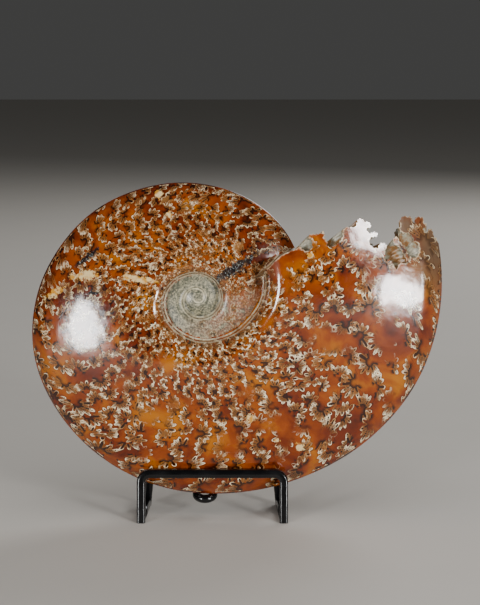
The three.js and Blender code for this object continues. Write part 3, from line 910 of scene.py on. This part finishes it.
@dataclass
class Fossil:
    """The polished stone: two flanks that meet at the keel, and the broken end between them."""

    coil: Coil = Coil()
    end: BrokenEnd = BrokenEnd()
    near: SutureStyle = SutureStyle()
    far: SutureStyle = SutureStyle(seed=11, step=0.68, petal_width=3.3, lattice=1.2)
    lean_deg: float = 5.0
    keel_step: float = 0.55
    keel_start_deg: float = 332.95
    keel_end_deg: float = -12.96
    newer_until: float = 0.4
    newest_from_deg: float = 325.0
    border_share: float = 0.45
    slope_step: float = 0.1
    wall_rows: tuple[float, ...] = (
        1.0, 0.965, 0.93, 0.9, 0.87, 0.82, 0.76, 0.69, 0.6, 0.5, 0.38, 0.25, 0.12)
    # Pale patches and the cracked place on the near flank: middle, half size and tilt.
    patches: tuple = (
        (-43.3, 8.6, 7.6, 1.9, 2), (-42, 9.2, 3.6, 2.2, 0), (-55, 2.3, 5.8, 1.6, 33),
        (-21.8, 7.4, 9.0, 1.5, -8), (-14.7, 40.1, 1.7, 2.3, 40), (-10.7, 32.3, 1.2, 1.8, 30),
        (39.8, -57.7, 2.2, 2.0, 0), (30.8, -54.6, 1.2, 1.2, 0), (20.6, -45.5, 1.9, 2.6, -30),
        (43.2, 17.0, 2.0, 1.5, 0))
    crack: tuple = ((13.5, 11.0, 13, 2.6, 33), (-43, 15.5, 7, 1.4, 38), (-40, 2.2, 4, 0.9, 5))
    # Clear greyish stone near the keel's broken end.
    smoke: tuple = ((91.5, 19.0, 11, 18, 8), (80, 28, 6, 6, 0))

    def outline(self, side: Flank) -> Points:
        """Draws a flank's outline: the keel, and the fringe of its broken end.

        Args:
            side: which flank.

        Returns:
            A closed polygon.
        """
        angles = np.linspace(self.keel_start_deg, self.keel_end_deg, 4000)
        run = run_along(self.coil.place(angles, np.ones(len(angles))))
        count = int(run[-1] / self.keel_step)
        keel = self.coil.place(np.interp(np.linspace(0, run[-1], count), run, angles),
                               np.ones(count))
        return np.vstack([keel[:-1], self.end.fringe(side)[::-1]])

    @staticmethod
    def blobs(points: Points, shapes: tuple) -> np.ndarray:
        """Measures how deep points lie in the nearest of some soft ellipses.

        Args:
            points: rows of (right, up).
            shapes: each ellipse's middle, half sizes and tilt in degrees.

        Returns:
            1 in an ellipse's middle, 0 at its rim, and -1 at the least.
        """
        best = np.full(len(points), -1.0)
        for right, up, half_width, half_height, tilt in shapes:
            turn = math.radians(tilt)
            x, y = points[:, 0] - right, points[:, 1] - up
            along = (x * math.cos(turn) + y * math.sin(turn)) / half_width
            across = (y * math.cos(turn) - x * math.sin(turn)) / half_height
            best = np.maximum(best, 1 - np.hypot(along, across))
        return best

    def triangulate(self, outline: Points, sutures: SutureLines,
                    measure: NearestLine) -> tuple[Points, np.ndarray]:
        """Fills a flank's outline with triangles whose edges follow its sutures.

        Args:
            outline: the flank's outline.
            sutures: its suture lines.
            measure: the distance to them.

        Returns:
            Points, and triangles by point number.
        """
        step = sutures.style.lattice
        low, high = outline.min(axis=0), outline.max(axis=0)
        rows = []
        for i, y in enumerate(np.arange(low[1], high[1], step * math.sqrt(3) / 2)):
            x = np.arange(low[0] + (i % 2) * step / 2, high[0], step)
            rows.append(np.column_stack([x, np.full(len(x), y)]))
        grid = np.vstack(rows)
        grid = grid[inside_polygon(grid, outline)]
        broken = self.end.edge_over()
        borders = NearestLine([np.vstack([outline, outline[:1]]), broken])
        grid = grid[borders.distance(grid) > step * self.border_share]
        grid = grid[measure.distance(grid) > FINGER_MM]
        start = len(outline)
        blocks, edges = [outline], [(i, (i + 1) % start) for i in range(start)]
        for line in [broken] + [line[:, :2] for line in sutures.lines]:
            blocks.append(line)
            edges += [(start + i, start + i + 1) for i in range(len(line) - 1)]
            start += len(line)
        corners = [Vector(p) for p in np.vstack(blocks + [grid])]
        found, _, faces, *_ = delaunay_2d_cdt(corners, edges, [], 1, 1e-4, False)
        points = np.array([tuple(p) for p in found])
        triangles = np.array(faces)
        within = inside_polygon(points[triangles].mean(axis=1), outline)
        return self.split_flat(points, triangles[within], measure)

    @staticmethod
    def split_flat(points: Points, triangles: np.ndarray,
                   measure: NearestLine) -> tuple[Points, np.ndarray]:
        """Gives each triangle that spans from line to line a corner in its middle.

        Args:
            points: rows of (right, up).
            triangles: triangles by point number.
            measure: the distance to the lines.

        Returns:
            Points and triangles, with the new ones after the old.
        """
        on_line = measure.distance(points) < ON_LINE_MM
        spans = on_line[triangles].all(axis=1)
        middles = points[triangles[spans]].mean(axis=1)
        deep = measure.distance(middles) > 3 * ON_LINE_MM
        chosen = np.flatnonzero(spans)[deep]
        a, b, c = triangles[chosen].T
        new = len(points) + np.arange(len(chosen))
        split = [np.column_stack(three) for three in ((a, b, new), (b, c, new), (c, a, new))]
        kept = np.delete(triangles, chosen, axis=0)
        return np.vstack([points, middles[deep]]), np.vstack([kept, *split])

    def flank(self, side: Flank, style: SutureStyle) -> Surface:
        """Builds one flank.

        Args:
            side: which flank.
            style: how its sutures are drawn.

        Returns:
            Its surface, from the keel to the broken edge.
        """
        outline = self.outline(side)
        sutures = SutureLines(self.coil, style, outline, self.end)
        measure = NearestLine(sutures.lines)
        points, triangles = self.triangulate(outline, sutures, measure)

        # A point on the broken edge is needed twice: up on the newest whorl's rim, and down on
        # the older whorl that it laps over.
        past = self.end.is_past(points[triangles].mean(axis=1))
        keys, faces = np.unique(triangles * 2 + past[:, None], return_inverse=True)
        faces = faces.reshape(-1, 3)
        past = keys % 2 == 1
        points = points[keys // 2]
        coil, step = self.coil, self.slope_step
        height = coil.height(points, past)
        across, up = ((coil.height(points + shift, past) - coil.height(points - shift, past))
                      / (2 * step) for shift in np.diag([step, step]))
        facing = np.full(len(points), float(side.value))
        normals = unit(np.column_stack([-across, facing, -up]))
        places = np.column_stack([points[:, 0], side.value * height, points[:, 1]])
        turned = face_normals(points, faces) * side.value > 0
        faces[turned] = faces[turned][:, ::-1]
        return Surface(places, normals, faces, self.flank_values(points, past, side, measure))

    def flank_values(self, points: Points, past: np.ndarray, side: Flank,
                     measure: NearestLine) -> dict[str, np.ndarray]:
        """Works out what the finish needs to know at each point of a flank.

        Args:
            points: rows of (right, up).
            past: whether each point lies past the broken edge.
            side: which flank.
            measure: the distance to its sutures.

        Returns:
            Named arrays, distances in millimetres.
        """
        coil = self.coil
        angle = coil.angle(points)
        radius = np.hypot(*points.T)
        newest = (angle > self.newest_from_deg) & ~past
        above_seam = np.array([
            radius - smooth_table(coil.seam_radius, angle + 360 * turn) for turn in (-1, 0, 1, 2)])
        above_seam[0] = np.where(newest, above_seam[0], -99.0)
        nearest = np.abs(above_seam).argmin(axis=0)
        seam_mm = above_seam[nearest, np.arange(len(points))]
        turn = np.where(above_seam.max(axis=0) > 0, (above_seam > 0).argmax(axis=0), 3) - 1
        age = angle / 360 + turn
        rim = NearestLine([self.end.edge_over(), self.end.fringe(side)])
        # The one point in the middle of a narrow finger stands for its whole floor, so its
        # distance counts double.
        suture = measure.distance(points)
        suture = np.where((suture > ON_LINE_MM) & (suture < FINGER_MM), 2 * suture, suture)
        inside, tip = measure.frond_marks(points)
        shapes = (self.patches, self.smoke, self.crack) if side is Flank.NEAR else ((), (), ())
        return dict(zip(FLANK_VALUES, (
            suture, inside, tip, seam_mm, rim.distance(points), age,
            *(self.blobs(points, group) for group in shapes))))

    def broken_end(self) -> Surface:
        """Builds the last chamber's wall, from the near rim down to its floor and back up.

        Returns:
            Its surface.
        """
        near, far = (np.vstack([self.end.edge_over()[:-1], self.end.fringe(side)])
                     for side in Flank)
        floor = rounded_line(self.end.floor, len(near))
        rows, depths = [], []
        order = [(near, -share) for share in self.wall_rows] + [(near, 0.0)]
        order += [(far, share) for share in self.wall_rows[::-1]]
        for edge, share in order:
            drop = smooth_table(self.end.drop, np.full(len(edge), abs(share)))[:, None]
            flat = edge + (floor - edge) * drop
            height = self.coil.height(edge, np.zeros(len(edge), dtype=bool))
            rows.append(np.column_stack([flat[:, 0], share * height, flat[:, 1]]))
            depths.append(np.hypot(*(flat - edge).T) + (1 - abs(share)) * height)
        grid = np.array(rows)
        along = np.gradient(grid, axis=1)
        across = np.gradient(grid, axis=0)
        normals = unit(np.cross(along, across).reshape(-1, 3))
        if normals[:, 2].mean() < 0:
            normals = -normals
        count = len(near)
        first = (np.arange(len(rows) - 1)[:, None] * count + np.arange(count - 1)).ravel()
        faces = np.vstack([np.column_stack([first, first + 1, first + count + 1]),
                           np.column_stack([first, first + count + 1, first + count])])
        places = grid.reshape(-1, 3)
        if face_normals(places, faces)[:, 2].sum() < 0:
            faces = faces[:, ::-1]
        values = dict.fromkeys(FLANK_VALUES, np.zeros(len(places)))
        values["suture_mm"] = values["seam_mm"] = values["age"] + 9
        values["patch"] = values["smoke"] = values["crack"] = values["age"] - 1
        values["edge_mm"] = np.concatenate(depths)
        return Surface(places, normals, faces, values, slot=1)

    def build(self) -> None:
        """Builds the stone: two halves of the near flank, and the far flank with the end."""
        near = self.flank(Flank.NEAR, self.near)
        far = self.flank(Flank.FAR, self.far)
        newer = (near.values["age"][near.faces] < self.newer_until).all(axis=1)
        stretches = {"near_flank_newer": [near.only(newer)],
                     "near_flank_older": [near.only(~newer)],
                     "far_flank": [far, self.broken_end()]}
        lean = np.array(Matrix.Rotation(-math.radians(self.lean_deg), 3, "X"))
        places = [np.vstack([part.places for part in parts]) @ lean.T
                  for parts in stretches.values()]
        placed = np.split(move_to_node(np.vstack(places), "ammonite"),
                          np.cumsum([len(block) for block in places])[:-1])
        materials = [PolishedCalcite().material(), ChamberWall().material()]
        for (name, parts), own in zip(stretches.items(), placed):
            starts = np.cumsum([0] + [len(part.places) for part in parts])
            faces = np.vstack([part.faces + start for part, start in zip(parts, starts)])
            mesh = make_piece(name, own, faces, "ammonite",
                              materials[:len(parts)]).data
            slots = np.repeat([part.slot for part in parts], [len(part.faces) for part in parts])
            mesh.polygons.foreach_set("material_index", slots)
            for value in FLANK_VALUES:
                attribute = mesh.attributes.new(value, "FLOAT", "POINT")
                attribute.data.foreach_set(
                    "value", np.concatenate([part.values[value] for part in parts]))
            normals = np.vstack([part.normals for part in parts]) @ lean.T
            mesh.normals_split_custom_set_from_vertices(normals.tolist())


@dataclass
class BarStand:
    """The stand: square steel bar bent into two hoops, two rails between their feet, and a
    hook of round bar under the keel, in millimetres."""

    bar: float = 3.3
    rounding: float = 0.9
    hoop_height: float = 20.5
    hoop_bend: float = 3.4
    front_hoop: tuple[float, float, float, float] = (27.6, 0.0, -11.4, -8.6)
    rear_hoop: tuple[float, float, float, float] = (26.6, 2.2, 15.6, 11.1)
    join_gap: float = 0.3
    hook_half_width: float = 3.25
    hook_slope_deg: float = 18.0
    hook_bottom: tuple[float, float] = (0.0, 6.45)
    hook_arm: tuple = ((5.6, 8.5), (8.8, 10.6), (10.7, 13.4), (11.5, 16.6))
    bend_steps: int = 14

    def section(self) -> Points:
        """Returns the bar's section, a square with rounded edges, as (across, up)."""
        corner = self.bar / 2 - self.rounding
        return np.array([
            (side_x * corner + self.rounding * math.cos((quarter + share) * math.pi / 2),
             side_y * corner + self.rounding * math.sin((quarter + share) * math.pi / 2))
            for quarter, (side_x, side_y) in enumerate(((1, 1), (-1, 1), (-1, -1), (1, -1)))
            for share in np.linspace(0, 1, 6)])

    @staticmethod
    def loft(rings: Sequence[np.ndarray]) -> Tube:
        """Joins rings of points into a closed tube with flat ends.

        Args:
            rings: the rings, in order, with the same number of points.

        Returns:
            Vertex positions and faces.
        """
        count = len(rings[0])
        last = (len(rings) - 1) * count
        faces = [(a + i, a + count + i, a + count + (i + 1) % count, a + (i + 1) % count)
                 for a in range(0, last, count) for i in range(count)]
        faces += [tuple(range(count)), tuple(range(last + count - 1, last - 1, -1))]
        return np.vstack(rings), faces

    def hoop(self, shape: tuple[float, float, float, float]) -> Tube:
        """Bends the bar into a hoop.

        Args:
            shape: half width, how far each leg draws in on the way up, and where the feet
                and the top are, front to back.

        Returns:
            Vertex positions and faces.
        """
        half_width, inset, foot, top = shape
        level = self.hoop_height - self.bar / 2
        path = [(-half_width, z, 0.0) for z in (0.0, 0.25)]
        for turn in np.linspace(0, math.pi / 2, self.bend_steps):
            path.append((-half_width + self.hoop_bend * (1 - math.cos(turn)),
                         level - self.hoop_bend * (1 - math.sin(turn)), turn))
        path += [(-x, z, math.pi - turn) for x, z, turn in path[::-1]]
        rings = []
        for x, z, turn in path:
            across, depth = self.section().T
            ring_x = x - across * math.cos(turn)
            ring_z = z + across * math.sin(turn)
            ring_x = ring_x * (1 - inset / half_width * ring_z / self.hoop_height)
            ring_y = foot + (top - foot) * ring_z / self.hoop_height + depth
            rings.append(np.column_stack([ring_x, ring_y, ring_z]))
        return self.loft(rings)

    def rail(self, side: int) -> Tube:
        """Lays a straight bar on the table between a front foot and a rear foot.

        Args:
            side: -1 for the left, 1 for the right.

        Returns:
            Vertex positions and faces.
        """
        rings = []
        for (half_width, _, foot, top), way in ((self.front_hoop, 1), (self.rear_hoop, -1)):
            lean = foot + (top - foot) * self.bar / self.hoop_height
            y = lean + way * (self.bar / 2 + self.join_gap)
            across, up = self.section().T
            rings.append(np.column_stack([side * half_width + across, np.full(len(up), y),
                                          self.bar / 2 + up]))
        return self.loft(rings)

    def hook(self) -> Tube:
        """Bends round bar into the U that carries the keel.

        Returns:
            Vertex positions and faces.
        """
        slope = math.radians(self.hook_slope_deg)
        back, up = self.hook_bottom
        half = []
        for turn in np.linspace(0, math.pi / 2, self.bend_steps):
            run = self.hook_half_width * (1 - math.cos(turn))
            half.append((self.hook_half_width * math.sin(turn), back + run * math.cos(slope),
                         up + run * math.sin(slope)))
        arm = rounded_line([half[-1][1:], *self.hook_arm], 16)[1:]
        half += [(self.hook_half_width, y, z) for y, z in arm]
        path = np.array([(-x, y, z) for x, y, z in half[:0:-1]] + half)
        along = unit(np.gradient(path, axis=0))
        across = unit(np.cross([0, -1, 0.6], along))
        third = np.cross(along, across)
        turns = np.linspace(0, 2 * math.pi, 24, endpoint=False)
        ring = [(self.bar / 2 * math.cos(t), self.bar / 2 * math.sin(t)) for t in turns]
        rings = [np.array([p + a * u + b * w for a, b in ring])
                 for p, u, w in zip(path, across, third)]
        return self.loft(rings)

    def build(self) -> None:
        """Builds the stand's bars, each in place of its CAD node."""
        enamel = StovedEnamel().material()
        shapes = {"front_hoop": self.hoop(self.front_hoop),
                  "rear_hoop": self.hoop(self.rear_hoop),
                  "left_rail": self.rail(-1), "right_rail": self.rail(1),
                  "keel_hook": self.hook()}
        for node, (places, faces) in shapes.items():
            bar = make_piece(f"{node}_bar", move_to_node(places, node), faces, node,
                             [enamel])
            for flat_end in bar.data.polygons[-2:]:
                flat_end.use_smooth = False


def direction(azimuth_deg: float, elevation_deg: float) -> Vector:
    """Gives the way from the fossil's middle to something round it.

    Args:
        azimuth_deg: degrees to the right of the camera's side.
        elevation_deg: degrees up.

    Returns:
        A vector of length 1.
    """
    turn, rise = math.radians(azimuth_deg), math.radians(elevation_deg)
    return Vector((math.sin(turn) * math.cos(rise), -math.cos(turn) * math.cos(rise),
                   math.sin(rise)))


@dataclass(frozen=True)
class SoftBox:
    """A soft light that faces the fossil, in degrees, metres and watts."""

    name: str
    azimuth: float
    elevation: float
    distance: float
    width: float
    height: float
    watts: float
    mirrored: bool = True

    def hang(self, target: Vector) -> None:
        """Hangs the light.

        Args:
            target: the place that it faces.
        """
        data = bpy.data.lights.new(self.name, "AREA")
        data.shape, data.size, data.size_y = "ELLIPSE", self.width, self.height
        data.energy = self.watts
        lamp = put_in_scene(self.name, data)
        way = direction(self.azimuth, self.elevation)
        lamp.location = target + way * self.distance
        lamp.rotation_euler = (-way).to_track_quat("-Z", "Y").to_euler()
        lamp.visible_glossy = self.mirrored


@dataclass
class Studio:
    """A pale floor, soft lights and the camera, in metres and degrees."""

    distance: float = 0.70
    elevation_deg: float = 8.0
    look_at: tuple[float, float, float] = (0.0012, -0.001, 0.0834)
    photo_scale_mm: float = 0.39
    sensor_mm: float = 36.0
    floor_size: float = 12.0
    floor_colours: tuple[str, str] = ("#cfcac2", "#8d8881")
    floor_scale: float = 30.0
    world_colour: str = "#d8d8d6"
    world_strength: float = 0.08
    lights: tuple[SoftBox, ...] = (
        SoftBox("left_soft_box", -34, 1, 1.1, 0.22, 0.34, 8.5),
        SoftBox("right_soft_box", 42, -1.5, 1.1, 0.24, 0.15, 5.5),
        SoftBox("small_right_soft_box", 36, 12.5, 1.1, 0.22, 0.17, 5.0),
        SoftBox("top_soft_box", 10, 70, 1.3, 1.9, 1.5, 8.0, mirrored=False),
        SoftBox("rear_soft_box", 150, 32, 1.6, 0.9, 0.7, 9.0))

    def floor(self) -> None:
        """Lays the floor, matt and very slightly mottled."""
        half = self.floor_size / 2
        mesh = bpy.data.meshes.new("floor")
        mesh.from_pydata([(-half, -half, 0), (half, -half, 0), (half, half, 0),
                          (-half, half, 0)], [], [(0, 1, 2, 3)])
        board = NodeBoard("matt_board")
        mottle = board.add("TexNoise", {"Vector": board.place, "Scale": self.floor_scale})
        share = board.add("MapRange", (mottle, 0.0, 1.0, 0.0, 0.06))
        pale, dusty = self.floor_colours
        colour = board.add("Mix", {0: share, 6: pale, 7: dusty}, 2, **RGBA)
        mesh.materials.append(board.finish(board.add(
            "BsdfPrincipled", {"Base Color": colour, "Roughness": 0.8})))
        put_in_scene("floor", mesh)

    def camera(self, target: Vector) -> None:
        """Sets the camera up at the height and distance of the photograph.

        Args:
            target: the place that it faces.
        """
        data = bpy.data.cameras.new("camera")
        data.sensor_fit = "HORIZONTAL"
        data.sensor_width = self.sensor_mm
        data.lens = self.sensor_mm * self.distance / (self.photo_scale_mm * MM * PHOTO_WIDTH)
        camera = put_in_scene("camera", data)
        camera.location = target + direction(0, self.elevation_deg) * self.distance
        camera.rotation_euler = (target - camera.location).to_track_quat("-Z", "Y").to_euler()
        bpy.context.scene.camera = camera

    def build(self) -> None:
        """Sets up the floor, the lights, the world and the camera."""
        self.floor()
        target = Vector(self.look_at)
        for light in self.lights:
            light.hang(target)
        world = bpy.data.worlds.new("studio")
        bpy.context.scene.world = world
        world.use_nodes = True
        background = world.node_tree.nodes["Background"]
        background.inputs["Color"].default_value = srgb(self.world_colour)
        background.inputs["Strength"].default_value = self.world_strength
        self.camera(target)


def main() -> None:
    """Builds the fossil, its stand and the studio."""
    logging.basicConfig(level=logging.INFO, format="%(name)s: %(message)s")
    Fossil().build()
    BarStand().build()
    Studio().build()


if __name__ == "__main__":
    main()
